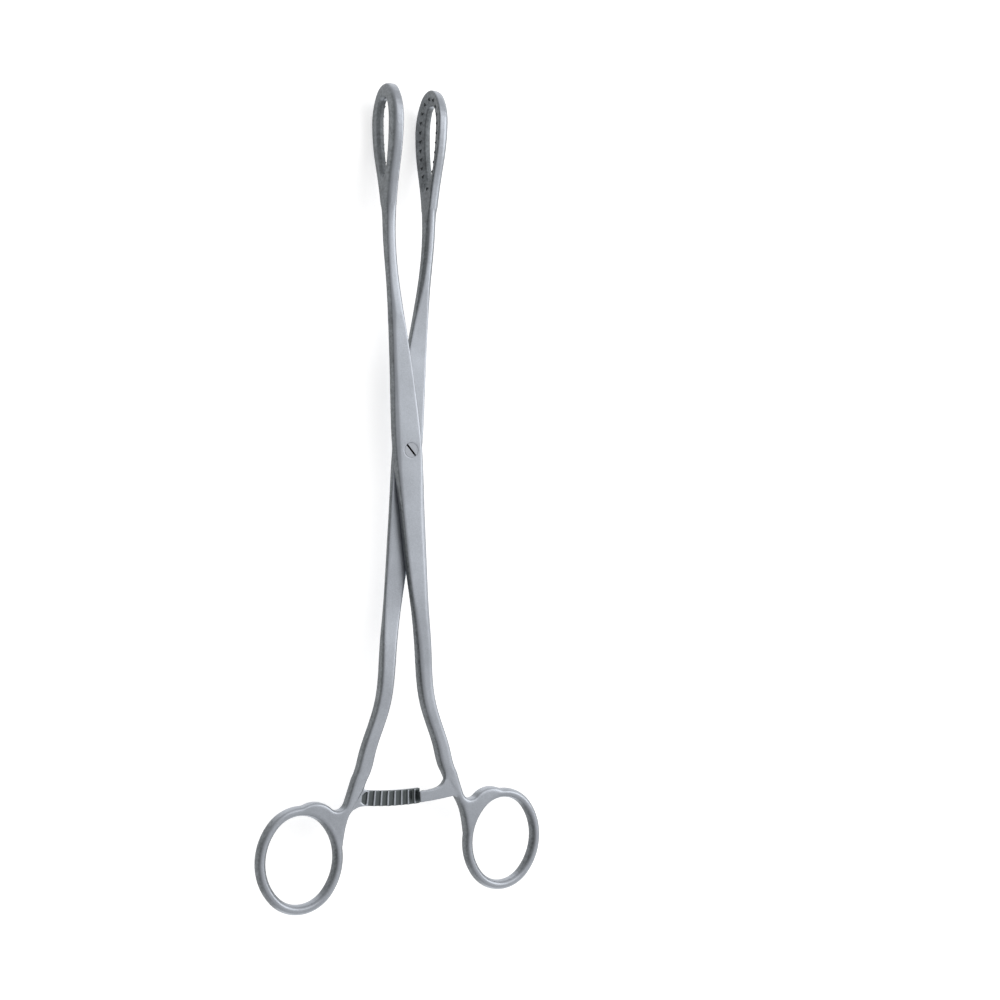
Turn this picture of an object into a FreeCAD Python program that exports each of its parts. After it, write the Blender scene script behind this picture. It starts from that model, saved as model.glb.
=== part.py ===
import FreeCAD, Part
import math
import os

from FreeCAD import Vector

# Abortion forceps: two forged steel halves that cross at a screw joint.
# Millimetres. X is the opening direction, +Y runs to the jaws, +Z faces the screw head.
# The origin is on the pivot axis, in the plane where the two halves lie on each other.
# Each half is described as the front one: its jaw is at -X and its ring at +X.
# The rear half is the same forging turned half a turn about Y, with its own ratchet bar.

# Lengths from the pivot to both ends
JAW_REACH = 125.9
TAIL_REACH = 154.1

# Jaw: an oval plate with a window, straight in its own frame and leaning outwards a little
JAW_WIDTH = 18.8
JAW_THICKNESS = 3.9
JAW_FACE_X = 6.95
JAW_LEAN = 1.0
JAW_LENGTH = 42.0
BOW_HEIGHT = 12.8
TIP_RADIUS = 7.4
TAPER_ABOVE_FOOT = 14.7
TAPER_WIDTH = 14.0
JAW_FOOT_WIDTH = 6.6
JAW_BACK_ROUND = 1.9
JAW_RIM_BEVEL = 0.4

# Cup: the sloping band round the window that carries the teeth
RIM_WIDTH = 0.9
CUP_DEPTH = 1.3
CUP_ABOVE_FOOT = 5.0
CUP_FOOT_WIDTH = 6.4
CUP_FOOT_RISE = 2.4
WINDOW_WIDTH = 8.2
WINDOW_TAPER_WIDTH = 5.0
WINDOW_ABOVE_FOOT = 10.5
WINDOW_FOOT_WIDTH = 3.4
WINDOW_FOOT_RISE = 1.6
WINDOW_FLARE = 1.0

# Teeth of the jaw: small three-sided points
JAW_TEETH = 22
JAW_TOOTH_SIDE = 1.2
JAW_TOOTH_HEIGHT = 0.4
JAW_TOOTH_ROOT = 0.3
JAW_TOOTH_PLACE = 0.48

# Arm: a section is its height, its sideways place and its width. Between the jaw's foot
# and the lap, and between the lap and the web, its height is a share of the way down.
CORNER_STEPS = (1, 1, 2, 2)
STEM_WIDTH = 3.7
STEM_DEPTH = 4.7
STEM_ROUND = 1.1
STEM_TOP = (0.18, -7.7, STEM_WIDTH)
STEM_TOP_LEVELS = (-2.6, 2.6)
STEM = (0.34, -7.45, STEM_WIDTH)
UPPER_SHOULDER = (0.683, -6.45, 4.2)
UPPER_SHOULDER_LEVELS = (-1.35, 2.6)

# Joint: the halves lap here, each with half of the joint's thickness
LAP_THICKNESS = 3.3
LAP_GAP = 0.06
GRINDING_STOCK = 0.03
JOINT_WIDTH = 10.6
LAP_TOP = (46.0, -5.4, 5.4)
LAP_UPPER = (17.0, -2.2, 9.4)
PIVOT = (0.0, -0.7, JOINT_WIDTH)
LAP_LOWER = (-18.0, 1.25, 9.5)
LAP_NARROWING = (-38.0, 3.05, 8.1)
LAP_BOTTOM = (-54.0, 4.8, 6.5)
LAP_OUTER_ROUND = 2.0
LAP_INNER_ROUND = 0.9
LAP_FACE_BEVEL = 0.4

# Shank between the joint and the finger ring
SHANK_WIDTH = 5.2
SHANK_DEPTH = 4.6
LOWER_SHOULDER = (0.228, 6.4, 5.7)
LOWER_SHOULDER_LEVELS = (-1.4, 2.7)
SHANK = (0.456, 7.6, SHANK_WIDTH)
SHANK_BEND = (0.561, 8.6, SHANK_WIDTH)
SHANK_FLARE = (0.684, 10.8, SHANK_WIDTH)
SHANK_SPREAD = (0.86, 14.4, SHANK_WIDTH)
SHANK_END_X = 17.1
SHANK_END_ABOVE_TAIL = 43.1
SHANK_END_SLOPE = 0.34
SHANK_FRONT_ROUND = 1.4
SHANK_BACK_ROUND = 0.7

# Where the arm runs into the jaw and the web: a little over their ends, then inside them
JOIN_SWELL = 0.06
RUN_IN = 4.0
RUN_IN_INSET = 0.7

# Finger ring
RING_X = 38.4
RING_HOLE_LENGTH = 29.0
RING_HOLE_WIDTH = 24.0
RING_WIRE_WIDTH = 3.4
RING_WIRE_DEPTH = 4.8
RING_WIRE_FACETS = 16
RING_END_RADIUS = 12.2
RING_LEAN = 2.6

# Web: its outer side dips into a valley before the ring, its inner side turns at a corner
WEB_SINK = 0.3
WEB_SIDE_ANGLE = 172.0
WEB_TOP_ANGLE = 95.0
VALLEY_DROP = 7.8
VALLEY_END = (-11.6, 15.7)
INNER_CORNER = (-17.8, 12.4)

# Pivot screw, with its head let into the front half and its thread in the rear half
SCREW_DIAMETER = 3.2
SCREW_HEAD_DIAMETER = 5.0
SCREW_HEAD_DEPTH = 1.0
SCREW_HEAD_RIM = 0.2
SCREW_CLEARANCE = 0.05
THREAD_CLEARANCE = 0.02
SLOT_WIDTH = 0.7
SLOT_DEPTH = 0.7
SLOT_TURN = -49.0

# Ratchet: two toothed bars on arcs about the pivot, face to face
RATCHET_ABOVE_TAIL = 35.3
RATCHET_RADIUS = TAIL_REACH - RATCHET_ABOVE_TAIL
REAR_BAR_WIDTH = 5.2
FRONT_BAR_WIDTH = 3.8
BAR_GAP = 0.1
REAR_BAR_END_X = 6.4
FRONT_BAR_END_X = 5.0
RATCHET_PITCH = 2.55
RATCHET_TOOTH_HEIGHT = 0.7
REAR_RATCHET_TEETH = 9
FRONT_RATCHET_TEETH = 3
FRONT_UPPER_ROOT = 6.5
FRONT_LOWER_ROOT = 3.0
REAR_UPPER_ROOT = 3.0
REAR_LOWER_ROOT = 7.0
ROOT_SET_BACK = 0.8
WEB_EDGE_SLOPE = 0.12
BAR_INSET = 0.15
BAR_THICKNESS = (SHANK_DEPTH - BAR_GAP) / 2 - BAR_INSET

ORIGIN = Vector(0, 0, 0)
X = Vector(1, 0, 0)
Y = Vector(0, 1, 0)
Z = Vector(0, 0, 1)
OVERCUT = 2.0
CUP_OVERCUT = 0.3
TOUCH = 0.01


def prism(wire, direction):
    """A solid made by moving a flat closed wire along a direction."""
    return Part.Face(wire).extrude(direction)


def spline(points, start, end):
    """A smooth edge through the points, with given directions at both ends."""
    curve = Part.BSplineCurve()
    curve.interpolate(Points=points, InitialTangent=start, FinalTangent=end)
    return curve.toShape()


def tangent_arcs(start, direction, points):
    """A chain of arcs through the points that leaves the start in a direction, without corners."""
    arcs = []
    for end in points:
        chord = end - start
        along = chord / chord.Length
        direction = direction / direction.Length
        lean = direction + along
        middle = start + lean * (chord.Length / lean.dot(lean))
        arcs.append(Part.Arc(start, middle, end).toShape())
        direction = along * (2 * direction.dot(along)) - direction
        start = end
    return arcs


def about_pivot(radius, angle, z):
    """A point at a distance from the pivot; angle 0 is straight below it."""
    turn = math.radians(angle)
    return Vector(radius * math.sin(turn), -radius * math.cos(turn), z)


def arc_about_pivot(radius, start, end, z):
    """An arc about the pivot between two angles."""
    middle = (start + end) / 2
    places = [about_pivot(radius, angle, z) for angle in (start, middle, end)]
    return Part.Arc(*places).toShape()


# Arm


def arm_section(place, low, high, rounds, swell=0.0):
    """A cross-section of the arm with its corners rounded in steps, low left first."""
    y, x, width = place
    left, right = x - width / 2 - swell, x + width / 2 + swell
    low, high = low - swell, high + swell
    corners = ((left, low), (right, low), (right, high), (left, high))
    points = []
    for number, (corner_x, corner_z) in enumerate(corners):
        r, steps = rounds[number], CORNER_STEPS[number]
        centre_x = corner_x + (r if corner_x == left else -r)
        centre_z = corner_z + (r if corner_z == low else -r)
        for step in range(steps + 1):
            turn = math.pi / 2 * (2 + number + step / steps)
            points.append(Vector(centre_x + r * math.cos(turn), y, centre_z + r * math.sin(turn)))
    return Part.makePolygon([*points, points[0]])


def neck_section(y, swell):
    """The section of the jaw's foot at a height, grown by a swell."""
    middle = jaw_place().multVec(Vector(-JAW_THICKNESS / 2, y - JAW_REACH, 0))
    half = JAW_FOOT_WIDTH / 2
    rounds = (JAW_BACK_ROUND, JAW_RIM_BEVEL, JAW_RIM_BEVEL, JAW_BACK_ROUND)
    return arm_section((y, middle.x, JAW_THICKNESS), -half, half, rounds, swell)


def along_stem(place):
    """A section's place, with its share of the way from the jaw's foot to the lap as a height."""
    share, x, width = place
    foot_y = JAW_REACH - JAW_LENGTH
    return foot_y + share * (LAP_TOP[0] - foot_y), x, width


def along_shank(place):
    """A section's place, with its share of the way from the lap to the web as a height."""
    share, x, width = place
    lap_y = LAP_BOTTOM[0]
    return lap_y + share * (shank_end(0).y - lap_y), x, width


def shank_end(across):
    """A point of the shank's end, beside its middle line."""
    return Vector(SHANK_END_X + across, SHANK_END_ABOVE_TAIL - TAIL_REACH, 0)


def arm():
    """The bar from the jaw's neck, over the joint, to the web of the finger ring."""
    half_stem, half_shank = STEM_DEPTH / 2, SHANK_DEPTH / 2
    lap = (LAP_GAP / 2, LAP_THICKNESS + GRINDING_STOCK)
    stem = (-half_stem, half_stem)
    shank = (-half_shank, half_shank)
    upper_rounds = (LAP_FACE_BEVEL, LAP_FACE_BEVEL, LAP_INNER_ROUND, LAP_OUTER_ROUND)
    lower_rounds = (LAP_FACE_BEVEL, LAP_FACE_BEVEL, LAP_OUTER_ROUND, LAP_INNER_ROUND)
    stem_rounds = (STEM_ROUND,) * 4
    shank_rounds = (SHANK_BACK_ROUND, SHANK_BACK_ROUND, SHANK_FRONT_ROUND, SHANK_FRONT_ROUND)
    foot_y, end = JAW_REACH - JAW_LENGTH, shank_end(0)
    web_start = (end.y, end.x, SHANK_WIDTH)
    inside_web = (end.y - RUN_IN, end.x + RUN_IN * SHANK_END_SLOPE, SHANK_WIDTH)
    sections = [
        neck_section(foot_y, JOIN_SWELL),
        arm_section(along_stem(STEM_TOP), *STEM_TOP_LEVELS, stem_rounds),
        arm_section(along_stem(STEM), *stem, stem_rounds),
        arm_section(along_stem(UPPER_SHOULDER), *UPPER_SHOULDER_LEVELS, stem_rounds),
        arm_section(LAP_TOP, *lap, upper_rounds),
        arm_section(LAP_UPPER, *lap, upper_rounds),
        arm_section(PIVOT, *lap, upper_rounds),
        arm_section(LAP_LOWER, *lap, lower_rounds),
        arm_section(LAP_NARROWING, *lap, lower_rounds),
        arm_section(LAP_BOTTOM, *lap, lower_rounds),
        arm_section(along_shank(LOWER_SHOULDER), *LOWER_SHOULDER_LEVELS, shank_rounds),
        arm_section(along_shank(SHANK), *shank, shank_rounds),
        arm_section(along_shank(SHANK_BEND), *shank, shank_rounds),
        arm_section(along_shank(SHANK_FLARE), *shank, shank_rounds),
        arm_section(along_shank(SHANK_SPREAD), *shank, shank_rounds),
        arm_section(web_start, *shank, shank_rounds, JOIN_SWELL),
    ]
    in_jaw = neck_section(foot_y + RUN_IN, -RUN_IN_INSET)
    in_web = arm_section(inside_web, *shank, shank_rounds, -RUN_IN_INSET)
    body = Part.makeLoft(sections, True).multiFuse([
        Part.makeLoft([sections[0], in_jaw], True),
        Part.makeLoft([sections[-1], in_web], True),
    ])
    top, bottom = LAP_TOP[0], LAP_BOTTOM[0]
    size = Vector(4 * JOINT_WIDTH, top - bottom, LAP_THICKNESS)
    below_lap = Part.makeBox(*size, Vector(-size.x / 2, bottom, LAP_GAP / 2 - size.z))
    above_lap = Part.makeBox(*size, Vector(-size.x / 2, bottom, LAP_THICKNESS))
    return body.cut([below_lap, above_lap])


# Jaw


def jaw_place():
    """Where the jaw's own frame goes: its tip in the toothed face, leaning outwards."""
    return FreeCAD.Placement(Vector(-JAW_FACE_X, JAW_REACH, 0), FreeCAD.Rotation(Z, JAW_LEAN))


def pear(x, half_width, taper_half, foot_half, foot_y, top):
    """The arcs of a pear-shaped loop in the jaw's frame, from its tip's arc down its right side."""
    widest = Vector(x, -BOW_HEIGHT, half_width)
    taper = Vector(x, TAPER_ABOVE_FOOT - JAW_LENGTH, taper_half)
    foot = Vector(x, foot_y, foot_half)
    tip_radius = TIP_RADIUS * half_width / (JAW_WIDTH / 2)
    side, tip = oval_arcs(top + BOW_HEIGHT, half_width, tip_radius)[:2]
    bow = [arc_in_jaw(x, *side), arc_in_jaw(x, *tip)]
    right = [bow[0], *tangent_arcs(widest, -Y, [taper, foot])]
    left = [edge.mirror(ORIGIN, Z) for edge in reversed(right)]
    return bow[1], right, left


def arc_in_jaw(x, centre, radius, first, last):
    """One of an oval's arcs in the jaw's frame, with the oval's middle at the jaw's widest place."""
    first = max(first, 0)
    places = []
    for angle in (first, (first + last) / 2, last):
        turn = math.radians(angle)
        across, up = centre.x + radius * math.cos(turn), centre.y + radius * math.sin(turn)
        places.append(Vector(x, up - BOW_HEIGHT, across))
    return Part.Arc(*places).toShape()


def band_loop(share):
    """A loop on the toothed band: share 0 is the band's rim and 1 is the window's edge."""
    def between(rim, window):
        return rim + share * (window - rim)

    x = -share * CUP_DEPTH
    half_width = between(JAW_WIDTH / 2 - RIM_WIDTH, WINDOW_WIDTH / 2)
    taper_half = between(TAPER_WIDTH / 2 - RIM_WIDTH, WINDOW_TAPER_WIDTH / 2)
    foot_half = between(CUP_FOOT_WIDTH, WINDOW_FOOT_WIDTH) / 2
    bottom = between(CUP_ABOVE_FOOT, WINDOW_ABOVE_FOOT) - JAW_LENGTH
    foot_y = bottom + between(CUP_FOOT_RISE, WINDOW_FOOT_RISE)
    top = between(-RIM_WIDTH, -(JAW_WIDTH - WINDOW_WIDTH) / 2)
    tip, right, left = pear(x, half_width, taper_half, foot_half, foot_y, top)
    foot = Part.Arc(Vector(x, foot_y, foot_half), Vector(x, bottom, 0), Vector(x, foot_y, -foot_half))
    return Part.Wire([tip, *right, foot.toShape(), *left])


def jaw_tooth(place, inward):
    """One three-sided point standing square on the sloping band."""
    slope = math.atan2(CUP_DEPTH, (JAW_WIDTH - WINDOW_WIDTH) / 2 - RIM_WIDTH)
    normal = X * math.cos(slope) + inward * math.sin(slope)
    reach = JAW_TOOTH_SIDE / math.sqrt(3)
    height = JAW_TOOTH_HEIGHT + JAW_TOOTH_ROOT
    spread = reach * height / JAW_TOOTH_HEIGHT
    corners = [
        Vector(spread * math.cos(turn), spread * math.sin(turn), -JAW_TOOTH_ROOT)
        for turn in (0, 2 * math.pi / 3, 4 * math.pi / 3)
    ]
    tip = Vector(0, 0, JAW_TOOTH_HEIGHT)
    faces = [Part.Face(Part.makePolygon([*corners, corners[0]]))]
    for number, corner in enumerate(corners):
        following = corners[(number + 1) % 3]
        faces.append(Part.Face(Part.makePolygon([corner, following, tip, corner])))
    tooth = Part.makeSolid(Part.makeShell(faces))
    tooth.Placement = FreeCAD.Placement(place, FreeCAD.Rotation(inward.cross(normal), inward, normal, "ZXY"))
    return tooth


def jaw_teeth():
    """Teeth at equal steps round the middle of the band, none on the centre line."""
    loop = band_loop(JAW_TOOTH_PLACE)
    steps = loop.discretize(Number=2 * JAW_TEETH + 1)
    teeth = []
    for number in range(1, 2 * JAW_TEETH, 2):
        place = steps[number]
        along = (steps[number + 1] - steps[number - 1]).normalize()
        inward = along.cross(X)
        teeth.append(jaw_tooth(place, inward))
    return teeth


def edges_where(shape, test):
    """The edges of a shape whose middle point passes a test."""
    def middle(edge):
        return edge.valueAt((edge.FirstParameter + edge.LastParameter) / 2)

    return [edge for edge in shape.Edges if test(middle(edge))]


def jaw_blank():
    """The jaw's solid outline, rounded along its back and bevelled along its rim, in its own frame."""
    tip, right, left = pear(0, JAW_WIDTH / 2, TAPER_WIDTH / 2, JAW_FOOT_WIDTH / 2, -JAW_LENGTH, 0)
    foot_middle, foot_side = Y * -JAW_LENGTH, Z * (JAW_FOOT_WIDTH / 2)
    foot = Part.makeLine(foot_middle + foot_side, foot_middle - foot_side)
    plate = prism(Part.Wire([tip, *right, foot, *left]), X * -JAW_THICKNESS)
    above_foot = TOUCH - JAW_LENGTH
    back = edges_where(plate, lambda p: p.x < TOUCH - JAW_THICKNESS and p.y > above_foot)
    plate = plate.makeFillet(JAW_BACK_ROUND, back)
    rim = edges_where(plate, lambda p: p.x > -TOUCH and p.y > above_foot)
    return plate.makeChamfer(JAW_RIM_BEVEL, rim)


def flare():
    """What widens the window towards the jaw's back."""
    window = band_loop(1)
    edge = window.copy()
    edge.translate(X * (CUP_DEPTH + WINDOW_FLARE - JAW_THICKNESS))
    mouth = band_loop(1 - WINDOW_FLARE / ((JAW_WIDTH - WINDOW_WIDTH) / 2 - RIM_WIDTH))
    mouth.translate(X * (-mouth.BoundBox.XMin - JAW_THICKNESS))
    return Part.makeLoft([edge, mouth], True, True)


def jaw():
    """The oval end of a half, with its cup, window and teeth, in the part's frame."""
    cup = Part.makeLoft([band_loop(-CUP_OVERCUT), band_loop(1)], True, True)
    through = prism(band_loop(1), X * -JAW_THICKNESS)
    body = jaw_blank().cut([cup, through, flare()]).multiFuse(jaw_teeth())
    body.Placement = jaw_place()
    return body


# Finger ring


def ring_place():
    """Where the ring's own frame goes: its middle, leaning with its top outwards."""
    middle_y = -TAIL_REACH + RING_WIRE_WIDTH + RING_HOLE_LENGTH / 2
    return FreeCAD.Placement(Vector(RING_X, middle_y, 0), FreeCAD.Rotation(Z, -RING_LEAN))


def ring_point(angle, outset=0.0):
    """A point on the ring's middle line, or outside it, in the part's frame."""
    turn = math.radians(angle)
    across = (RING_HOLE_WIDTH + RING_WIRE_WIDTH) / 2 + outset
    along = (RING_HOLE_LENGTH + RING_WIRE_WIDTH) / 2 + outset
    return ring_place().multVec(Vector(across * math.cos(turn), along * math.sin(turn), 0))


def oval_arcs(half_long, half_wide, end_radius):
    """The centres, radii and angles of an oval's four arcs, long along Y."""
    end_centre = half_long - end_radius
    rise = half_wide - end_radius
    side_centre = (end_centre ** 2 - rise ** 2) / (2 * rise)
    side_radius = half_wide + side_centre
    turn = math.degrees(math.atan2(end_centre, side_centre))
    return [
        (X * -side_centre, side_radius, -turn, turn),
        (Y * end_centre, end_radius, turn, 180 - turn),
        (X * side_centre, side_radius, 180 - turn, 180 + turn),
        (Y * -end_centre, end_radius, 180 + turn, 360 - turn),
    ]


def ring():
    """The oval finger ring: four arcs of oval wire, two at its sides and two at its ends."""
    half_wire, half_depth = RING_WIRE_WIDTH / 2, RING_WIRE_DEPTH / 2
    half_long, half_wide = RING_HOLE_LENGTH / 2 + half_wire, RING_HOLE_WIDTH / 2 + half_wire
    pieces = []
    for centre, radius, first, last in oval_arcs(half_long, half_wide, RING_END_RADIUS):
        middle = X * radius
        turns = [2 * math.pi * side / RING_WIRE_FACETS for side in range(RING_WIRE_FACETS)]
        corners = [middle + X * (half_wire * math.cos(t)) + Z * (half_depth * math.sin(t)) for t in turns]
        section = Part.makePolygon([*corners, corners[0]])
        piece = Part.Face(section).revolve(ORIGIN, Z, last - first)
        piece.rotate(ORIGIN, Z, first)
        piece.translate(centre)
        pieces.append(piece)
    body = pieces[0].multiFuse(pieces[1:])
    body.Placement = ring_place()
    return body


def in_ring(place):
    """A point given from the ring's middle, in the part's frame."""
    return ring_place().multVec(Vector(*place, 0))


def web():
    """The flat part that joins the shank to the ring, with hollow curves on both sides."""
    half_width = SHANK_WIDTH / 2
    slope = Vector(SHANK_END_SLOPE, -1, 0)
    inner_start, outer_start = shank_end(-half_width), shank_end(half_width)
    side = ring_point(WEB_SIDE_ANGLE, RING_WIRE_WIDTH / 2 - WEB_SINK)
    top = ring_point(WEB_TOP_ANGLE, RING_WIRE_WIDTH / 2 - WEB_SINK)
    inner = [spline([inner_start, in_ring(INNER_CORNER), side], slope, Vector(WEB_EDGE_SLOPE, -1, 0))]
    valley_start = outer_start + slope * VALLEY_DROP
    outer = [
        Part.makeLine(outer_start, valley_start),
        *tangent_arcs(valley_start, slope, [in_ring(VALLEY_END), top]),
    ]
    closing_angles = (WEB_SIDE_ANGLE, (WEB_SIDE_ANGLE + WEB_TOP_ANGLE) / 2, WEB_TOP_ANGLE)
    side_middle, _, top_middle = closing = [ring_point(angle) for angle in closing_angles]
    outline = Part.Wire([
        Part.makeLine(outer_start, inner_start),
        *inner,
        Part.makeLine(side, side_middle),
        Part.Arc(*closing).toShape(),
        Part.makeLine(top_middle, top),
        *reversed(outer),
    ])
    top_face = SHANK_DEPTH / 2
    body = prism(outline, Z * SHANK_DEPTH)
    body.translate(Z * -top_face)

    def beside(curves, z):
        middles = [curve.valueAt((curve.FirstParameter + curve.LastParameter) / 2) for curve in curves]
        return edges_where(body, lambda p: any((p - m - Z * z).Length < TOUCH for m in middles))

    body = body.makeFillet(SHANK_FRONT_ROUND, beside(inner + outer, top_face))
    return body.makeChamfer(SHANK_BACK_ROUND, beside(inner + outer, -top_face))


# Ratchet


def ratchet_bar(width, end_x, teeth):
    """A bar on an arc about the pivot, toothed on the face that meets the other bar."""
    outer, inner = RATCHET_RADIUS + width / 2, RATCHET_RADIUS - width / 2
    low = BAR_GAP / 2
    end = math.degrees(math.asin(end_x / RATCHET_RADIUS))
    root_x = shank_inner_edge(-RATCHET_RADIUS).x + SHANK_WIDTH / 2
    root = math.degrees(math.asin(root_x / RATCHET_RADIUS))
    outline = Part.Wire([
        arc_about_pivot(inner, end, root, low),
        Part.makeLine(about_pivot(inner, root, low), about_pivot(outer, root, low)),
        arc_about_pivot(outer, root, end, low),
        Part.makeLine(about_pivot(outer, end, low), about_pivot(inner, end, low)),
    ])
    bar = prism(outline, Z * BAR_THICKNESS)
    pitch = math.degrees(RATCHET_PITCH / RATCHET_RADIUS)
    return bar.cut([ratchet_notch(width, end + number * pitch) for number in range(teeth)])


def ratchet_notch(width, angle):
    """What is cut away for one tooth: upright on its root side, sloping to the free end."""
    low = BAR_GAP / 2
    radius = RATCHET_RADIUS + width
    corners = [
        Vector(0, -radius, low),
        Vector(RATCHET_PITCH, -radius, low),
        Vector(0, -radius, low + RATCHET_TOOTH_HEIGHT),
    ]
    notch = prism(Part.makePolygon([*corners, corners[0]]), Y * (2 * width))
    notch.rotate(ORIGIN, Z, angle)
    return notch


def shank_inner_edge(y):
    """The place on the shank's inner edge at a height just above or below its end."""
    start = shank_end(-SHANK_WIDTH / 2)
    return Vector(start.x + (start.y - y) * SHANK_END_SLOPE, y, 0)


def hollow_corner(start, corner, end):
    """A filling with a hollow curve, laid in the corner between a bar and the shank."""
    low = Z * (BAR_GAP / 2)
    inside = on_bar(RATCHET_RADIUS, corner.x + SHANK_WIDTH / 3) + low
    curve = Part.BezierCurve()
    curve.setPoles([start + low, corner + low, end + low])
    outline = Part.Wire([
        curve.toShape(),
        Part.makeLine(end + low, inside),
        Part.makeLine(inside, start + low),
    ])
    return prism(outline, Z * BAR_THICKNESS)


def on_bar(radius, x):
    """The point of an arc about the pivot that has this x."""
    return about_pivot(radius, math.degrees(math.asin(x / radius)), 0)


def bar_root(width, upper_radius, lower_radius):
    """The fillings above and below a bar where it leaves the shank."""
    inner, outer = RATCHET_RADIUS - width / 2, RATCHET_RADIUS + width / 2
    upper = on_bar(inner, shank_inner_edge(-inner).x)
    lower = on_bar(outer, in_ring(INNER_CORNER).x - ROOT_SET_BACK)
    web_edge = lower + Vector(WEB_EDGE_SLOPE, -1, 0) * lower_radius
    return [
        hollow_corner(on_bar(inner, upper.x - upper_radius), upper, shank_inner_edge(upper.y + upper_radius)),
        hollow_corner(on_bar(outer, lower.x - lower_radius), lower, web_edge),
    ]


# Screw


def screw_shape(clearance, length_below):
    """The screw's own form, grown all round by a clearance."""
    radius = SCREW_DIAMETER / 2 + clearance
    head_radius = SCREW_HEAD_DIAMETER / 2 + clearance
    top = LAP_THICKNESS
    rim = top - SCREW_HEAD_RIM
    neck = top - SCREW_HEAD_DEPTH - clearance
    profile = [
        Vector(0, 0, -length_below),
        Vector(radius, 0, -length_below),
        Vector(radius, 0, neck),
        Vector(head_radius, 0, rim - clearance),
        Vector(head_radius, 0, top),
        Vector(0, 0, top),
    ]
    return Part.Face(Part.makePolygon([*profile, profile[0]])).revolve(ORIGIN, Z, 360)


def pivot_screw():
    """The slotted countersunk screw, its end flush with the back of the rear half."""
    body = screw_shape(0.0, LAP_THICKNESS)
    slot = Part.makeBox(2 * SCREW_HEAD_DIAMETER, SLOT_WIDTH, SLOT_DEPTH + OVERCUT)
    slot.translate(Vector(-SCREW_HEAD_DIAMETER, -SLOT_WIDTH / 2, LAP_THICKNESS - SLOT_DEPTH))
    slot.rotate(ORIGIN, Z, SLOT_TURN)
    return body.cut(slot)


# Halves


def half():
    """What both halves share, as the front half lies."""
    return arm().multiFuse([jaw(), ring(), web()])


def turned_over(shape):
    """The shape turned half a turn about Y."""
    turned = shape.copy()
    turned.rotate(ORIGIN, Y, 180)
    return turned


def front_half(blank):
    """The half nearest the screw's head, which turns on the screw."""
    bar = ratchet_bar(FRONT_BAR_WIDTH, FRONT_BAR_END_X, FRONT_RATCHET_TEETH)
    root = bar_root(FRONT_BAR_WIDTH, FRONT_UPPER_ROOT, FRONT_LOWER_ROOT)
    body = blank.multiFuse([bar, *root])
    return body.cut(screw_shape(SCREW_CLEARANCE, OVERCUT))


def rear_half(blank):
    """The half that the screw is threaded into."""
    bar = ratchet_bar(REAR_BAR_WIDTH, -REAR_BAR_END_X, REAR_RATCHET_TEETH)
    root = bar_root(REAR_BAR_WIDTH, REAR_UPPER_ROOT, REAR_LOWER_ROOT)
    body = turned_over(blank.multiFuse([bar, *root]))
    hole_radius = SCREW_DIAMETER / 2 + THREAD_CLEARANCE
    start = Z * (-LAP_THICKNESS - OVERCUT)
    hole = Part.makeCylinder(hole_radius, LAP_THICKNESS + 2 * OVERCUT, start)
    return body.cut(hole)


def main():
    os.makedirs("parts", exist_ok=True)
    blank = half()
    front_half(blank).exportStep("parts/front_half.step")
    rear_half(blank).exportStep("parts/rear_half.step")
    pivot_screw().exportStep("parts/pivot_screw.step")


main()
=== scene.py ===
import math

import bmesh
import bpy
import numpy
from bpy.props import FloatProperty, FloatVectorProperty, IntProperty, PointerProperty
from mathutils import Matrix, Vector


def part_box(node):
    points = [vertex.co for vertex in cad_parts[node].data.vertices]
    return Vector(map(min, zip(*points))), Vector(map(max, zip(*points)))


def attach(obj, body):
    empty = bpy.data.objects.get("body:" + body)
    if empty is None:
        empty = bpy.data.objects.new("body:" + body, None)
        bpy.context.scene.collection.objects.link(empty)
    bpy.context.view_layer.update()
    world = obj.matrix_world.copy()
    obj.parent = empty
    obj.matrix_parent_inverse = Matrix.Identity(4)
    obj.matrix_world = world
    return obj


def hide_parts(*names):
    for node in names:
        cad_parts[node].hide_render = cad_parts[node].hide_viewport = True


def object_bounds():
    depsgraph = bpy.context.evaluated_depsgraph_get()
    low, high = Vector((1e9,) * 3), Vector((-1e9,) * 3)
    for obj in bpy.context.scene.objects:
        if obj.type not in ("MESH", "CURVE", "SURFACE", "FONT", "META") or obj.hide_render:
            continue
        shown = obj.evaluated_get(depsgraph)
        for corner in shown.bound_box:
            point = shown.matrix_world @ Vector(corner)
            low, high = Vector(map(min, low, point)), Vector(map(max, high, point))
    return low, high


bl_info = {
    "name": "Abortion forceps",
    "version": (1, 0, 0),
    "blender": (4, 5, 0),
    "location": "3D View > Sidebar > Forceps",
    "description": "Dresses the two steel halves and the pivot screw, and sets the studio",
    "category": "Object",
}

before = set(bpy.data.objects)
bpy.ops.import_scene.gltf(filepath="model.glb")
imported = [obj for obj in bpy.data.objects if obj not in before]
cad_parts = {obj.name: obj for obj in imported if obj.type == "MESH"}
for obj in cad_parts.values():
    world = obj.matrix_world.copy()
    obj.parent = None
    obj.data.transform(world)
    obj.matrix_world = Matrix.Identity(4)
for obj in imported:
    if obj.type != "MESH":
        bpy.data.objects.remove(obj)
cad_low, cad_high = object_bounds()

# Each half: its node, body and material slot, and the sign of its X and Z against the front half's
HALVES = (
    ("front_half", "front", "front_half_steel", 1.0),
    ("rear_half", "rear", "rear_half_steel", -1.0),
)

# The screw, how far down its slot's edges stay bright above the slot's painted shade, and what stays
# sharp about it
SCREW = "pivot_screw"
SCREW_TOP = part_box(SCREW)[1][2]
SLOT_EDGE = 0.00015
SCREW_SURROUND = 0.003

# The shank's outer edge beside the ratchet, in metres, as the front half lies
SHANK_END = Vector((0.0197, -0.111, 0.0))
SHANK_SLOPE = 0.34
SHANK_OUTER_LENGTH = 0.0085
SHANK_HALF_DEPTH = 0.0023
SHANK_ROUND = 0.0014
SHANK_ROUND_STEP = 15

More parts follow.
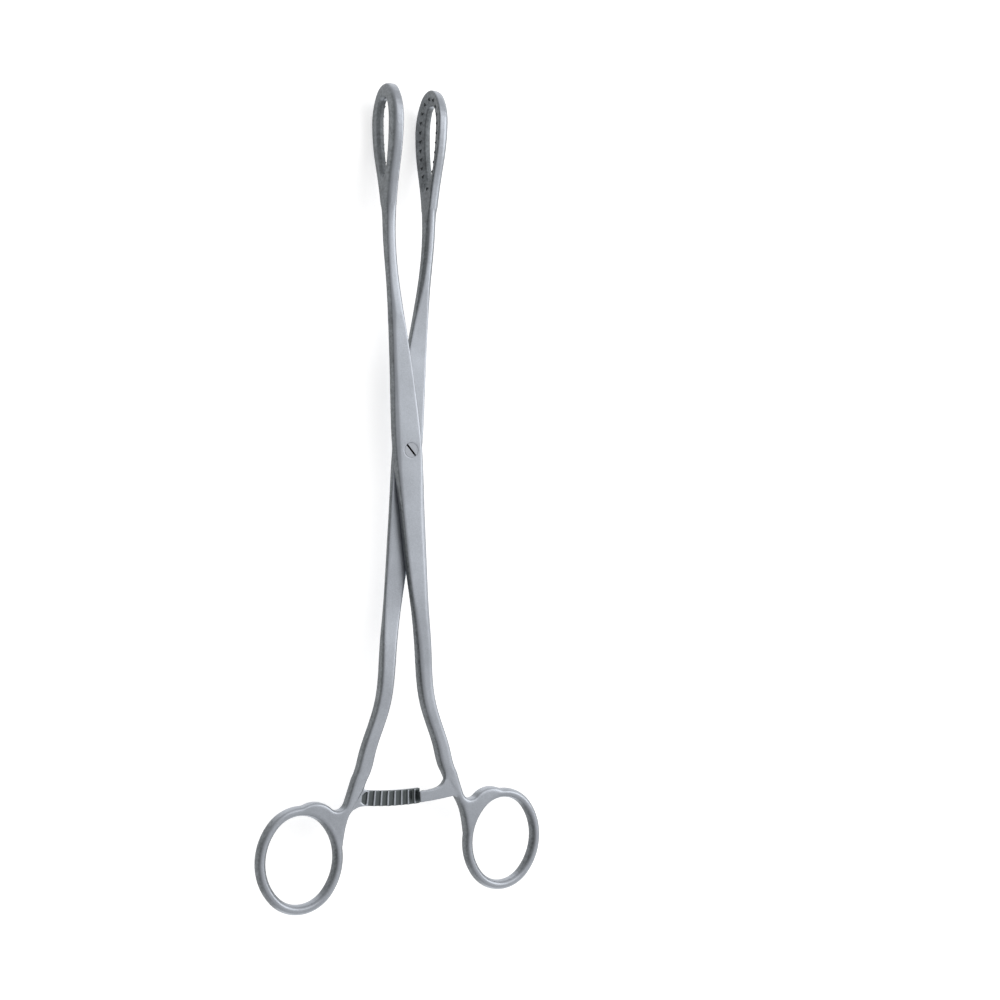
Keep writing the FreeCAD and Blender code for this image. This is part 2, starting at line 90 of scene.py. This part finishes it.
# The ratchet bars, on an arc about the pivot, and the lower end of the filling at their root
RATCHET_RADIUS = 0.1188
RATCHET_END = 0.0185
RATCHET_BAND = 0.004
ROOT_END = Vector((0.0207, -0.1245))
ROOT_REACH = 0.0055

# The jaws, down from the top of the halves, and how far the cups lie from the middle plane
JAW_LENGTH = 0.042
JAW_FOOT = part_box("front_half")[1][1] - JAW_LENGTH
CUP_REACH = 0.0088

# What is matt and painted darker as shade: sides whose normals reach this far along X, and the walls
# of the jaws' windows
SIDE_START = 0.3
SIDE_FULL = 0.85
INSIDE_ABOVE_FOOT = 0.004
INSIDE_FULL = -0.001

# The hollows of the ratchet, painted dark as shade, and the crests that stay bright
CREST_START = 0.00018
CREST_END = 0.00026
HOLLOW_DEPTH = 0.0009
HOLLOW_REACH = 0.0165
BAR_HALF_WIDTH = 0.0028

# A tooth of a cup: how many sides meet at its tip, how far its edges reach, how steep its sides
# are, and how its dark copy, which paints the tooth's shade, is spread and raised
TOOTH_FEWEST_SIDES = 3
TOOTH_MOST_SIDES = 6
TOOTH_REACH = 0.0014
TOOTH_BLUNTEST = math.radians(30)
TOOTH_SHARPEST = math.radians(75)
TOOTH_SPREAD = 0.5
TOOTH_LIFT = 0.00015

# Points of a node closer than this are one point of the surface
SAME_POINT = 1e-6

# Smoothing goes in this many steps of weight
WEIGHT_LEVELS = 10
SMOOTH_FACTOR = 0.5

# The size of the slow clouds, and how far the shade strays, on each finish
POLISHED = {"Clouds": 0.011, "Contrast": 0.4}
MOTTLED = {"Clouds": 0.004, "Contrast": 1.0}
ON_TEETH = {"Clouds": 0.001, "Contrast": 0.3}
ON_SCREW = {"Clouds": 0.002, "Contrast": 0.2}
GRAIN_DETAIL = 2.0
CLOUD_DETAIL = 5.0
GRAIN_STRENGTH = 0.6
TOOTH_ROUGHNESS = 0.5
SCREW_ROUGHNESS = 0.3
FLOOR_ROUGHNESS = 0.9

# The lamps, as places in metres and the side of their square, and how far the room's light fades
KEY_PLACE = (0.9, 0.3, 0.7)
FILL_PLACE = (0.2, 0.7, 1.0)
LAMP_SIDE = 0.8
ROOM_FADE = 0.9

# The width of the camera's sensor, in millimetres
SENSOR_WIDTH = 36.0

WHITE = (1.0, 1.0, 1.0, 1.0)


class ForcepsSteel(bpy.types.PropertyGroup):
    """Colours and finish of the forged steel."""

    shank_colour: FloatVectorProperty(
        name="Shank colour", description="Bare satin steel of the shanks and rings",
        subtype="COLOR", size=3, min=0, max=1, default=(0.385, 0.408, 0.446),
    )
    # Painted shade: a darker colour for the sides and for the walls of the jaws' windows
    side_shade_colour: FloatVectorProperty(
        name="Painted side shade", description="Duller steel of the blasted sides and cups",
        subtype="COLOR", size=3, min=0, max=1, default=(0.17, 0.182, 0.192),
    )
    # Painted shade: a near-black colour for the copies of the teeth in the cups
    tooth_shade_colour: FloatVectorProperty(
        name="Painted tooth shade", description="Teeth painted dark as shade in the jaws",
        subtype="COLOR", size=3, min=0, max=1, default=(0.05, 0.055, 0.058),
    )
    screw_colour: FloatVectorProperty(
        name="Screw colour", description="Steel of the pivot screw",
        subtype="COLOR", size=3, min=0, max=1, default=(0.38, 0.40, 0.435),
    )
    # Painted shade: a dark colour in the hollows between the ratchet teeth
    hollow_shade_colour: FloatVectorProperty(
        name="Painted hollow shade", description="Dark steel between the teeth of the ratchet",
        subtype="COLOR", size=3, min=0, max=1, default=(0.10, 0.112, 0.115),
    )
    # Painted shade: a near-black colour in the slot of the screw
    slot_shade_colour: FloatVectorProperty(
        name="Painted slot shade", description="Painted shade in the slot of the screw",
        subtype="COLOR", size=3, min=0, max=1, default=(0.02, 0.02, 0.02),
    )
    shank_roughness: FloatProperty(
        name="Shank roughness", description="Satin sheen of the shanks",
        min=0, max=1, default=0.34,
    )
    side_roughness: FloatProperty(
        name="Side roughness", description="Matt sheen of the sides and cups",
        min=0, max=1, default=0.5,
    )
    grain_size: FloatProperty(
        name="Grain size", description="Size of one grain of the blasted finish",
        unit="LENGTH", min=0.00005, max=0.002, default=0.00035,
    )
    mottle_size: FloatProperty(
        name="Mottle size", description="Size of one spot of the mottled sides",
        unit="LENGTH", min=0.0001, max=0.005, default=0.0009,
    )
    grain_depth: FloatProperty(
        name="Grain depth", description="Height of the grain",
        unit="LENGTH", min=0, max=0.0005, default=0.00002,
    )


class ForcepsForging(bpy.types.PropertyGroup):
    """How the halves are smoothed, as a forging is by grinding and polishing."""

    grid: FloatProperty(
        name="Grid", description="Size of one cell of the smoothed surface",
        unit="LENGTH", min=0.0001, max=0.001, default=0.00025,
    )
    polish: IntProperty(
        name="Polish", description="How often all edges are smoothed", min=0, max=40, default=10,
    )
    blend: IntProperty(
        name="Blend", description="How often the joins at the jaw and the web are smoothed",
        min=0, max=200, default=60,
    )
    blend_length: FloatProperty(
        name="Blend length", description="Length of the stretch that is smoothed at each join",
        unit="LENGTH", min=0.001, max=0.02, default=0.010,
    )


class ForcepsStudio(bpy.types.PropertyGroup):
    """The camera, the lamps and the floor."""

    camera_place: FloatVectorProperty(
        name="Camera place", description="Where the camera stands",
        subtype="TRANSLATION", unit="LENGTH", size=3, default=(-0.23067, -0.03007, 0.46038),
    )
    camera_target: FloatVectorProperty(
        name="Camera target", description="The point in the middle of the picture",
        subtype="TRANSLATION", unit="LENGTH", size=3, default=(0.037088, -0.016297, 0.0),
    )
    camera_roll: FloatProperty(
        name="Camera roll", description="Turn of the camera about its own axis",
        subtype="ANGLE", default=math.radians(0.368),
    )
    lens: FloatProperty(
        name="Lens", description="Focal length in millimetres on a 36 mm sensor",
        min=10, max=200, default=53.84,
    )
    floor_gap: FloatProperty(
        name="Floor gap", description="Space between the forceps and the floor",
        unit="LENGTH", min=0, max=0.01, default=0.0001,
    )
    floor_size: FloatProperty(
        name="Floor size", description="Side of the square floor",
        unit="LENGTH", min=0.5, max=20, default=6.0,
    )
    floor_colour: FloatVectorProperty(
        name="Floor colour", description="Colour of the floor",
        subtype="COLOR", size=3, min=0, max=1, default=(0.86, 0.86, 0.86),
    )
    floor_lift: FloatProperty(
        name="Floor lift",
        description="White added to the floor where the camera and reflections see it",
        min=0, max=1, default=0.5,
    )
    key_power: FloatProperty(
        name="Key lamp", description="Power of the large lamp on the right",
        unit="POWER", min=0, max=200, default=3.0,
    )
    fill_power: FloatProperty(
        name="Fill lamp", description="Power of the soft lamp above",
        unit="POWER", min=0, max=200, default=1.5,
    )
    left_level: FloatProperty(
        name="Room light left", description="Light of the room from the left",
        min=0, max=2, default=0.5,
    )
    right_level: FloatProperty(
        name="Room light right", description="Light of the room from the right",
        min=0, max=2, default=0.9,
    )


# Nodes


def node(tree, kind, **values):
    """A new node with its settings."""
    new = tree.nodes.new(kind)
    for name, value in values.items():
        setattr(new, name, value)
    return new


def grain_group():
    """The satin grain, a fine grain like that of blasting over slow clouds, built once for all the
    steel.
    """
    built = bpy.data.node_groups.get("Satin grain")
    if built:
        return built
    group = bpy.data.node_groups.new("Satin grain", "ShaderNodeTree")
    for name in ("Size", "Clouds", "Contrast"):
        group.interface.new_socket(name, in_out="INPUT", socket_type="NodeSocketFloat")
    for name in ("Shade", "Height"):
        group.interface.new_socket(name, in_out="OUTPUT", socket_type="NodeSocketFloat")
    enter, leave = node(group, "NodeGroupInput"), node(group, "NodeGroupOutput")
    place = node(group, "ShaderNodeTexCoord")
    links = group.links

    def noise(size, detail):
        scale = node(group, "ShaderNodeMath", operation="DIVIDE")
        scale.inputs[0].default_value = 1.0
        links.new(enter.outputs[size], scale.inputs[1])
        texture = node(group, "ShaderNodeTexNoise")
        texture.inputs["Detail"].default_value = detail
        links.new(place.outputs["Object"], texture.inputs["Vector"])
        links.new(scale.outputs[0], texture.inputs["Scale"])
        return texture.outputs["Fac"]

    grain, clouds = noise("Size", GRAIN_DETAIL), noise("Clouds", CLOUD_DETAIL)
    centred = node(group, "ShaderNodeMath", operation="SUBTRACT")
    centred.inputs[1].default_value = 1.0
    links.new(combined(group, "ADD", grain, clouds), centred.inputs[0])
    shade = node(group, "ShaderNodeMath", operation="MULTIPLY_ADD")
    shade.inputs[2].default_value = 1.0
    links.new(centred.outputs[0], shade.inputs[0])
    links.new(enter.outputs["Contrast"], shade.inputs[1])
    links.new(shade.outputs[0], leave.inputs["Shade"])
    links.new(grain, leave.inputs["Height"])
    return group


def below(tree, value, limit):
    """One where a value is below a limit, and nothing elsewhere."""
    test = node(tree, "ShaderNodeMath", operation="LESS_THAN")
    test.inputs[1].default_value = limit
    tree.links.new(value, test.inputs[0])
    return test.outputs[0]


def combined(tree, operation, first, *others):
    """Several values brought together two by two."""
    result = first
    for other in others:
        step = node(tree, "ShaderNodeMath", operation=operation)
        tree.links.new(result, step.inputs[0])
        tree.links.new(other, step.inputs[1])
        result = step.outputs[0]
    return result


def size_of(tree, value):
    """A value without its sign."""
    plain = node(tree, "ShaderNodeMath", operation="ABSOLUTE")
    tree.links.new(value, plain.inputs[0])
    return plain.outputs[0]


def mask_group(name):
    """A new group that puts out a mask, with its place on the piece split into X, Y and Z."""
    group = bpy.data.node_groups.new(name, "ShaderNodeTree")
    group.interface.new_socket("Mask", in_out="OUTPUT", socket_type="NodeSocketFloat")
    place = node(group, "ShaderNodeTexCoord")
    split = node(group, "ShaderNodeSeparateXYZ")
    group.links.new(place.outputs["Object"], split.inputs[0])
    return group, place, split


def sides_group():
    """A mask of what is matt and painted darker as shade: the sides, and the walls of the windows.
    """
    group, place, split = mask_group("Matt sides with painted shade")
    facing = node(group, "ShaderNodeSeparateXYZ")
    group.links.new(place.outputs["Normal"], facing.inputs[0])
    ramp = node(group, "ShaderNodeMapRange", interpolation_type="SMOOTHSTEP")
    ramp.inputs["From Min"].default_value = SIDE_START
    ramp.inputs["From Max"].default_value = SIDE_FULL
    group.links.new(size_of(group, facing.outputs["X"]), ramp.inputs["Value"])
    above_foot = node(group, "ShaderNodeMath", operation="GREATER_THAN")
    above_foot.inputs[1].default_value = JAW_FOOT + INSIDE_ABOVE_FOOT
    group.links.new(split.outputs["Y"], above_foot.inputs[0])
    outward = combined(group, "MULTIPLY", split.outputs["Z"], facing.outputs["Z"])
    inward = node(group, "ShaderNodeMapRange", interpolation_type="SMOOTHSTEP")
    inward.inputs["From Max"].default_value = INSIDE_FULL
    group.links.new(outward, inward.inputs["Value"])
    inside = combined(group, "MULTIPLY", above_foot.outputs[0], inward.outputs["Result"])
    mask = combined(group, "MAXIMUM", ramp.outputs["Result"], inside)
    group.links.new(mask, node(group, "NodeGroupOutput").inputs["Mask"])
    return group


def ratchet_group():
    """A mask of the hollows between the ratchet teeth, below their crests, where shade is painted.
    """
    group, place, split = mask_group("Ratchet hollows")
    flat = node(group, "ShaderNodeVectorMath", operation="MULTIPLY")
    flat.inputs[1].default_value = (1.0, 1.0, 0.0)
    group.links.new(place.outputs["Object"], flat.inputs[0])
    radius = node(group, "ShaderNodeVectorMath", operation="LENGTH")
    group.links.new(flat.outputs["Vector"], radius.inputs[0])
    off_line = node(group, "ShaderNodeMath", operation="SUBTRACT")
    off_line.inputs[1].default_value = RATCHET_RADIUS
    group.links.new(radius.outputs["Value"], off_line.inputs[0])
    depth = size_of(group, split.outputs["Z"])
    under_crest = node(group, "ShaderNodeMapRange")
    under_crest.inputs["From Min"].default_value = CREST_START
    under_crest.inputs["From Max"].default_value = CREST_END
    group.links.new(depth, under_crest.inputs["Value"])
    mask = combined(
        group, "MULTIPLY", under_crest.outputs["Result"], below(group, depth, HOLLOW_DEPTH),
        below(group, size_of(group, off_line.outputs[0]), BAR_HALF_WIDTH),
        below(group, size_of(group, split.outputs["X"]), HOLLOW_REACH),
        below(group, split.outputs["Y"], 0.0),
    )
    group.links.new(mask, node(group, "NodeGroupOutput").inputs["Mask"])
    return group


def placed(tree, group, **values):
    """A node group placed in a material with its own values."""
    new = node(tree, "ShaderNodeGroup", node_tree=group)
    for name, value in values.items():
        new.inputs[name].default_value = value
    return new


def new_material(name):
    """A material with a Principled shader, and its node tree."""
    material = bpy.data.materials.new(name)
    material.use_nodes = True
    return material, material.node_tree, material.node_tree.nodes["Principled BSDF"]


def mixed_colour(tree, factor, first, second):
    """A colour between two others, of which each is a socket or three numbers."""
    mix = node(tree, "ShaderNodeMix", data_type="RGBA")
    tree.links.new(factor, mix.inputs["Factor"])
    for socket, value in ((mix.inputs["A"], first), (mix.inputs["B"], second)):
        if isinstance(value, bpy.types.NodeSocket):
            tree.links.new(value, socket)
        else:
            socket.default_value = (*value, 1.0)
    return mix.outputs["Result"]


def shaded(tree, colour, shade):
    """A colour, as a socket or three numbers, multiplied by a grey shade."""
    scale = node(tree, "ShaderNodeVectorMath", operation="SCALE")
    if isinstance(colour, bpy.types.NodeSocket):
        tree.links.new(colour, scale.inputs[0])
    else:
        scale.inputs[0].default_value = colour
    tree.links.new(shade, scale.inputs["Scale"])
    return scale.outputs["Vector"]


def add_bump(tree, shader, height, depth):
    """The grain as a bump of a real height on a shader."""
    bump = node(tree, "ShaderNodeBump")
    bump.inputs["Strength"].default_value = GRAIN_STRENGTH
    bump.inputs["Distance"].default_value = depth
    tree.links.new(height, bump.inputs["Height"])
    tree.links.new(bump.outputs["Normal"], shader.inputs["Normal"])


def half_steel(values, grain, sides, ratchet):
    """Satin steel, polished on the faces that lie flat, matt on the sides and in the windows, where
    its colour is painted darker as shade.
    """
    material, tree, shader = new_material("Satin steel of a half")
    surface = placed(tree, grain, Size=values.grain_size, **POLISHED)
    mottle = placed(tree, grain, Size=values.mottle_size, **MOTTLED)
    mask = placed(tree, sides).outputs["Mask"]
    polished = shaded(tree, values.shank_colour, surface.outputs["Shade"])
    # The sides and the walls of the windows get a darker colour: painted shade
    blasted_and_shaded = shaded(tree, values.side_shade_colour, mottle.outputs["Shade"])
    steel = mixed_colour(tree, mask, polished, blasted_and_shaded)
    # The hollows of the ratchet get a dark colour: painted shade
    hollows = placed(tree, ratchet).outputs["Mask"]
    steel = mixed_colour(tree, hollows, steel, values.hollow_shade_colour)
    tree.links.new(steel, shader.inputs["Base Color"])
    rough = node(tree, "ShaderNodeMapRange")
    rough.inputs["To Min"].default_value = values.shank_roughness
    rough.inputs["To Max"].default_value = values.side_roughness
    tree.links.new(mask, rough.inputs["Value"])
    worn = combined(tree, "MULTIPLY", rough.outputs["Result"], surface.outputs["Shade"])
    tree.links.new(worn, shader.inputs["Roughness"])
    shader.inputs["Metallic"].default_value = 1.0
    add_bump(tree, shader, surface.outputs["Height"], values.grain_depth)
    return material


def tooth_steel(values, grain):
    """Steel of the teeth in the cups, painted near-black as their shade."""
    material, tree, shader = new_material("Teeth painted dark as shade")
    surface = placed(tree, grain, Size=values.grain_size, **ON_TEETH)
    steel = shaded(tree, values.tooth_shade_colour, surface.outputs["Shade"])
    tree.links.new(steel, shader.inputs["Base Color"])
    shader.inputs["Metallic"].default_value = 1.0
    shader.inputs["Roughness"].default_value = TOOTH_ROUGHNESS
    add_bump(tree, shader, surface.outputs["Height"], values.grain_depth)
    return material


def screw_steel(values, grain):
    """Turned steel of the pivot screw, with shade painted near-black below the edges of its slot."""
    material, tree, shader = new_material("Turned steel of the screw")
    surface = placed(tree, grain, Size=values.grain_size, **ON_SCREW)
    place = node(tree, "ShaderNodeTexCoord")
    split = node(tree, "ShaderNodeSeparateXYZ")
    tree.links.new(place.outputs["Object"], split.inputs[0])
    # Below the top of the head the screw gets a near-black colour: painted shade in the slot
    in_slot = below(tree, split.outputs["Z"], SCREW_TOP - SLOT_EDGE)
    steel = mixed_colour(tree, in_slot, values.screw_colour, values.slot_shade_colour)
    steel = shaded(tree, steel, surface.outputs["Shade"])
    tree.links.new(steel, shader.inputs["Base Color"])
    shader.inputs["Metallic"].default_value = 1.0
    shader.inputs["Roughness"].default_value = SCREW_ROUGHNESS
    add_bump(tree, shader, surface.outputs["Height"], values.grain_depth)
    return material


def floor_paint(values):
    """A pale matt floor that the camera and the steel see a little whiter."""
    material, tree, shader = new_material("Pale floor")
    shader.inputs["Base Color"].default_value = (*values.floor_colour, 1.0)
    shader.inputs["Roughness"].default_value = FLOOR_ROUGHNESS
    shader.inputs["Emission Color"].default_value = WHITE
    rays = node(tree, "ShaderNodeLightPath")
    kinds = ("Is Camera Ray", "Is Glossy Ray", "Is Transmission Ray")
    seen = combined(tree, "MAXIMUM", *(rays.outputs[kind] for kind in kinds))
    lift = node(tree, "ShaderNodeMath", operation="MULTIPLY")
    lift.inputs[1].default_value = values.floor_lift
    tree.links.new(seen, lift.inputs[0])
    tree.links.new(lift.outputs[0], shader.inputs["Emission Strength"])
    return material


# Pieces


def dress(piece, material):
    """Gives a piece its finish."""
    piece.data.materials.clear()
    piece.data.materials.append(material)


def whole_copy(name, label):
    """A copy of a node as one closed surface."""
    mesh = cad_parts[name].data.copy()
    surface = bmesh.new()
    surface.from_mesh(mesh)
    bmesh.ops.remove_doubles(surface, verts=surface.verts, dist=SAME_POINT)
    surface.to_mesh(mesh)
    surface.free()
    piece = bpy.data.objects.new(label, mesh)
    bpy.context.scene.collection.objects.link(piece)
    return piece


def is_tooth_tip(vertex):
    """Whether a vertex is the tip of one small three-sided tooth in a cup."""
    x, y, _ = vertex.co
    in_cup = y >= JAW_FOOT and abs(x) <= CUP_REACH
    if not in_cup or not TOOTH_FEWEST_SIDES <= len(vertex.link_faces) <= TOOTH_MOST_SIDES:
        return False
    reach = max(edge.calc_length() for edge in vertex.link_edges)
    slopes = [vertex.normal.angle(face.normal, 0.0) for face in vertex.link_faces]
    return reach < TOOTH_REACH and min(slopes) > TOOTH_BLUNTEST and max(slopes) < TOOTH_SHARPEST


def cup_teeth(name):
    """The teeth of one jaw, taken from its node, spread and raised a little from the cup, as copies
    that carry the teeth's painted shade.
    """
    piece = whole_copy(name, "Teeth_of_the_" + name)
    surface = bmesh.new()
    surface.from_mesh(piece.data)
    surface.normal_update()
    tips = [vertex for vertex in surface.verts if is_tooth_tip(vertex)]
    kept = {face for tip in tips for face in tip.link_faces}
    places = {}
    for tip in tips:
        for vertex in {vertex for face in tip.link_faces for vertex in face.verts}:
            spread = (vertex.co - tip.co) * TOOTH_SPREAD
            places[vertex] = vertex.co + spread + tip.normal * TOOTH_LIFT
    others = [face for face in surface.faces if face not in kept]
    bmesh.ops.delete(surface, geom=others, context="FACES")
    for vertex, place in places.items():
        vertex.co = place
    surface.to_mesh(piece.data)
    surface.free()
    return piece


def edge_cutter(side):
    """A solid of what lies outside the shank's rounded outer edge beside the ratchet."""
    along = Vector((SHANK_SLOPE, -1, 0)).normalized()
    across = Vector((-along.y, along.x, 0))
    outside, top = SHANK_OUTER_LENGTH, 2 * SHANK_HALF_DEPTH
    arc = [math.radians(angle) for angle in range(0, 90 + SHANK_ROUND_STEP, SHANK_ROUND_STEP)]
    low = SHANK_HALF_DEPTH - SHANK_ROUND
    profile = [(SHANK_ROUND * (math.cos(a) - 1), low + SHANK_ROUND * math.sin(a)) for a in arc]
    profile += [(-SHANK_ROUND, top), (outside, top), (outside, 0), (0, 0)]
    surface = bmesh.new()
    ends = []
    for reach in (0, SHANK_OUTER_LENGTH):
        start = SHANK_END + along * reach
        places = [start + across * u + Vector((0, 0, z)) for u, z in profile]
        ends.append([surface.verts.new((side * p.x, p.y, side * p.z)) for p in places])
    first, last = ends
    surface.faces.new(first)
    surface.faces.new(reversed(last))
    for number in range(len(profile)):
        following = (number + 1) % len(profile)
        surface.faces.new((first[following], first[number], last[number], last[following]))
    bmesh.ops.recalc_face_normals(surface, faces=surface.faces)
    mesh = bpy.data.meshes.new("Edge cutter")
    surface.to_mesh(mesh)
    surface.free()
    cutter = bpy.data.objects.new("Edge cutter", mesh)
    bpy.context.scene.collection.objects.link(cutter)
    return cutter


def settle(piece):
    """Turns a piece's modifiers into its mesh."""
    graph = bpy.context.evaluated_depsgraph_get()
    mesh = bpy.data.meshes.new_from_object(piece.evaluated_get(graph))
    piece.modifiers.clear()
    piece.data = mesh


def smoothed(piece, group, weights, times):
    """Smooths a piece as much as its weights say, from none at 0 to all at 1."""
    marked = piece.vertex_groups.new(name=group)
    levels = numpy.round(weights * WEIGHT_LEVELS).astype(int)
    for level in range(1, WEIGHT_LEVELS + 1):
        members = numpy.nonzero(levels == level)[0].tolist()
        if members:
            marked.add(members, level / WEIGHT_LEVELS, "REPLACE")
    smooth = piece.modifiers.new(group, "SMOOTH")
    smooth.factor = SMOOTH_FACTOR
    smooth.iterations = times
    smooth.vertex_group = group


def forging(name, side, values):
    """A half as the forging is polished: its edges soft, its joins with jaw, web and bar blended."""
    piece = whole_copy(name, name.capitalize() + "_forging")
    cutter = edge_cutter(side)
    cut = piece.modifiers.new("Edge", "BOOLEAN")
    cut.operation = "DIFFERENCE"
    cut.solver = "EXACT"
    cut.object = cutter
    remesh = piece.modifiers.new("Grid", "REMESH")
    remesh.mode = "VOXEL"
    remesh.voxel_size = values.grid
    settle(piece)
    bpy.data.objects.remove(cutter)
    places = numpy.empty(3 * len(piece.data.vertices))
    piece.data.vertices.foreach_get("co", places)
    x, y, _ = places.reshape(-1, 3).T
    from_middle, from_pivot = numpy.abs(x), numpy.hypot(x, y)
    on_bar = numpy.abs(from_pivot - RATCHET_RADIUS) < RATCHET_BAND
    toothed = on_bar & (from_middle < RATCHET_END) & (y < 0)
    cup = (y > JAW_FOOT) & (from_middle < CUP_REACH)
    sharp = toothed | cup | (from_pivot < SCREW_SURROUND)
    smoothed(piece, "Polish", numpy.where(sharp, 0.0, 1.0), values.polish)
    near_jaw = numpy.abs(y - JAW_FOOT)
    near_web = numpy.abs(y - SHANK_END.y + SHANK_OUTER_LENGTH / 2)
    near_join = numpy.minimum(near_jaw, near_web) / values.blend_length
    near_root = numpy.hypot(from_middle - ROOT_END.x, y - ROOT_END.y) / ROOT_REACH
    blend = numpy.clip(1 - numpy.minimum(near_join, near_root), 0, 1)
    blend = numpy.where(toothed | cup, 0.0, blend)
    smoothed(piece, "Blend", blend, values.blend)
    piece.data.polygons.foreach_set("use_smooth", [True] * len(piece.data.polygons))
    return piece


# The studio


def pale_floor(values):
    """A square floor just under the forceps."""
    half = values.floor_size / 2
    mesh = bpy.data.meshes.new("Floor")
    corners = [(-half, -half, 0), (half, -half, 0), (half, half, 0), (-half, half, 0)]
    mesh.from_pydata(corners, [], [(0, 1, 2, 3)])
    mesh.materials.append(floor_paint(values))
    floor = bpy.data.objects.new("Floor", mesh)
    floor.location.z = cad_low[2] - values.floor_gap
    bpy.context.scene.collection.objects.link(floor)


def studio_room(values):
    """Soft light from all sides, brighter on the right than on the left."""
    world = bpy.data.worlds.new("Room")
    world.use_nodes = True
    tree = world.node_tree
    direction = node(tree, "ShaderNodeTexCoord")
    split = node(tree, "ShaderNodeSeparateXYZ")
    ramp = node(tree, "ShaderNodeMapRange", interpolation_type="SMOOTHSTEP")
    ramp.inputs["From Min"].default_value = -ROOM_FADE
    ramp.inputs["From Max"].default_value = ROOM_FADE
    ramp.inputs["To Min"].default_value = values.left_level
    ramp.inputs["To Max"].default_value = values.right_level
    tree.links.new(direction.outputs["Generated"], split.inputs[0])
    tree.links.new(split.outputs["X"], ramp.inputs["Value"])
    room = tree.nodes["Background"]
    room.inputs["Color"].default_value = WHITE
    tree.links.new(ramp.outputs["Result"], room.inputs["Strength"])
    return world


def lamp(name, place, power):
    """A square lamp that points at the middle of the forceps."""
    data = bpy.data.lights.new(name, "AREA")
    data.size = LAMP_SIDE
    data.energy = power
    light = bpy.data.objects.new(name, data)
    light.location = place
    light.rotation_euler = (-Vector(place)).to_track_quat("-Z", "Y").to_euler()
    bpy.context.scene.collection.objects.link(light)


def photo_camera(values):
    """The camera at the photograph's place and angle."""
    data = bpy.data.cameras.new("Photo camera")
    data.lens = values.lens
    data.sensor_width = SENSOR_WIDTH
    camera = bpy.data.objects.new("Photo camera", data)
    place, target = Vector(values.camera_place), Vector(values.camera_target)
    back = (place - target).normalized()
    right = Vector((back.z, 0, -back.x)).normalized()
    up = back.cross(right)
    turn = values.camera_roll
    turned_right = right * math.cos(turn) + up * math.sin(turn)
    turned_up = up * math.cos(turn) - right * math.sin(turn)
    matrix = camera.matrix_world.copy()
    for row in range(3):
        matrix[row] = (turned_right[row], turned_up[row], back[row], place[row])
    camera.matrix_world = matrix
    bpy.context.scene.collection.objects.link(camera)
    bpy.context.scene.camera = camera


class FORCEPS_OT_halves(bpy.types.Operator):
    """Gives both halves their satin steel"""

    bl_idname = "forceps.halves"
    bl_label = "Dress the halves"

    def execute(self, context):
        steel = context.scene.forceps_steel
        material = half_steel(steel, grain_group(), sides_group(), ratchet_group())
        for name, body, slot, side in HALVES:
            piece = forging(name, side, context.scene.forceps_forging)
            dress(piece, material)
            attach(piece, body)
            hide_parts(name)
        return {"FINISHED"}


class FORCEPS_OT_teeth(bpy.types.Operator):
    """Sets dark copies of the teeth, painted shade, into the cups of both jaws"""

    bl_idname = "forceps.teeth"
    bl_label = "Set the teeth"

    def execute(self, context):
        material = tooth_steel(context.scene.forceps_steel, grain_group())
        for name, body, slot, side in HALVES:
            piece = cup_teeth(name)
            dress(piece, material)
            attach(piece, body)
        return {"FINISHED"}


class FORCEPS_OT_screw(bpy.types.Operator):
    """Gives the pivot screw its turned steel"""

    bl_idname = "forceps.screw"
    bl_label = "Dress the screw"

    def execute(self, context):
        material = screw_steel(context.scene.forceps_steel, grain_group())
        dress(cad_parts[SCREW], material)
        return {"FINISHED"}


class FORCEPS_OT_studio(bpy.types.Operator):
    """Sets the floor, the lamps, the room and the camera"""

    bl_idname = "forceps.studio"
    bl_label = "Set the studio"

    def execute(self, context):
        values = context.scene.forceps_studio
        pale_floor(values)
        lamp("Key lamp", KEY_PLACE, values.key_power)
        lamp("Fill lamp", FILL_PLACE, values.fill_power)
        context.scene.world = studio_room(values)
        context.scene.view_settings.view_transform = "Standard"
        photo_camera(values)
        return {"FINISHED"}


class FORCEPS_PT_panel(bpy.types.Panel):
    """The forceps and its studio"""

    bl_label = "Forceps"
    bl_idname = "FORCEPS_PT_panel"
    bl_space_type = "VIEW_3D"
    bl_region_type = "UI"
    bl_category = "Forceps"

    def draw(self, context):
        scene = context.scene
        for values in (scene.forceps_steel, scene.forceps_forging, scene.forceps_studio):
            box = self.layout.box()
            for name in values.__annotations__:
                box.prop(values, name)
        for operator in OPERATORS:
            self.layout.operator(operator.bl_idname)


OPERATORS = (FORCEPS_OT_halves, FORCEPS_OT_teeth, FORCEPS_OT_screw, FORCEPS_OT_studio)
CLASSES = (ForcepsSteel, ForcepsForging, ForcepsStudio, *OPERATORS, FORCEPS_PT_panel)


def register():
    for cls in CLASSES:
        bpy.utils.register_class(cls)
    bpy.types.Scene.forceps_steel = PointerProperty(type=ForcepsSteel)
    bpy.types.Scene.forceps_forging = PointerProperty(type=ForcepsForging)
    bpy.types.Scene.forceps_studio = PointerProperty(type=ForcepsStudio)


def unregister():
    del bpy.types.Scene.forceps_studio
    del bpy.types.Scene.forceps_forging
    del bpy.types.Scene.forceps_steel
    for cls in reversed(CLASSES):
        bpy.utils.unregister_class(cls)


def main():
    register()
    bpy.ops.forceps.halves()
    bpy.ops.forceps.teeth()
    bpy.ops.forceps.screw()
    bpy.ops.forceps.studio()


if __name__ == "__main__":
    main()
